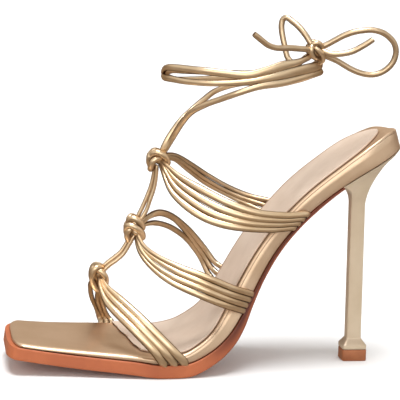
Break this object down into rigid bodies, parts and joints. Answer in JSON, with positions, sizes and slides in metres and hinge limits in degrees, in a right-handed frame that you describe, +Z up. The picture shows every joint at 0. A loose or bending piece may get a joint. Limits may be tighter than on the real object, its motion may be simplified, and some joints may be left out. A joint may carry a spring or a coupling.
{
  "type": "strappy stiletto sandal",
  "caption": "Square-toed high-heeled sandal with knotted cord straps over an open foot and a cord wrapped round the ankle, tied in a bow; left shoe.",
  "frame": {"origin": "centre of the flat tread under the ball of the foot, on the floor", "axes": "+X from the toe to the heel, -Y to the outer side of the left foot, +Z up"},
  "size_m": [0.2042, 0.0797, 0.1798],
  "materials": {
    "orange_sole": "smooth satin, faint moulding lines on the side",
    "orange_lift": "matte, fine grain",
    "gold_wrap": "satin metallic gold, pulled tight over the edge",
    "sock_lining": "matte pinkish beige lining with a soft nap",
    "heel_lacquer": "satin champagne gold lacquer",
    "gold_leather": "glossy metallic champagne gold, fine creases and a seam along each cord"
  },
  "bodies": {
    "root": {"outsole": "orange_sole", "footbed": "gold_wrap", "sock": "sock_lining", "heel": "heel_lacquer", "top_lift": "orange_lift", "upper": "gold_leather", "bow_knot": "gold_leather", "bow_loop_left": "gold_leather", "bow_loop_right": "gold_leather", "bow_end_left": "gold_leather", "bow_end_right": "gold_leather"}
  },
  "joints": []
}
